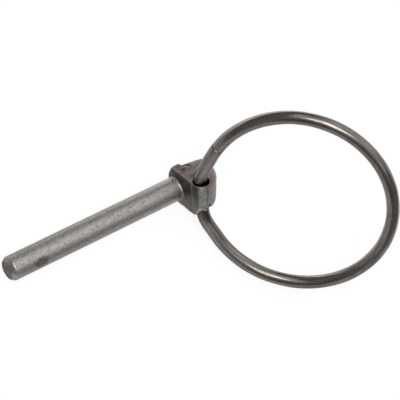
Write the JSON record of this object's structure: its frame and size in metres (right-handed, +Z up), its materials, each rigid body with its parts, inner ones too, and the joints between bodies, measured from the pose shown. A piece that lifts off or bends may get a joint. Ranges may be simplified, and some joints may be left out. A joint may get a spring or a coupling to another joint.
{
  "type": "lynch pin",
  "caption": "Steel lynch pin: a round shank with a coned tip, a blunt rounded head, and a wire ring that swings in a hole through the head.",
  "frame": {"origin": "on the shank's axis, where its straight wall meets the fillet under the shoulder", "axes": "-X along the shank to its tip, +Z up from the level that the pin lies on, -Y to the ring's side"},
  "size_m": [0.0871, 0.0474, 0.0446],
  "materials": {
    "forged_steel": "fine turned and forged grain, worn",
    "wire_steel": "dark drawn wire, polished by handling"
  },
  "bodies": {
    "pin": {"pin": "forged_steel"},
    "ring": {"ring": "wire_steel"}
  },
  "joints": [
    {"name": "ring_swing", "type": "hinge", "parent": "pin", "child": "ring", "pos_m": [0.0032, -0.00527, 0.00575], "axis": [0, -0.7369, -0.676], "range_deg": [-212, 133]}
  ]
}
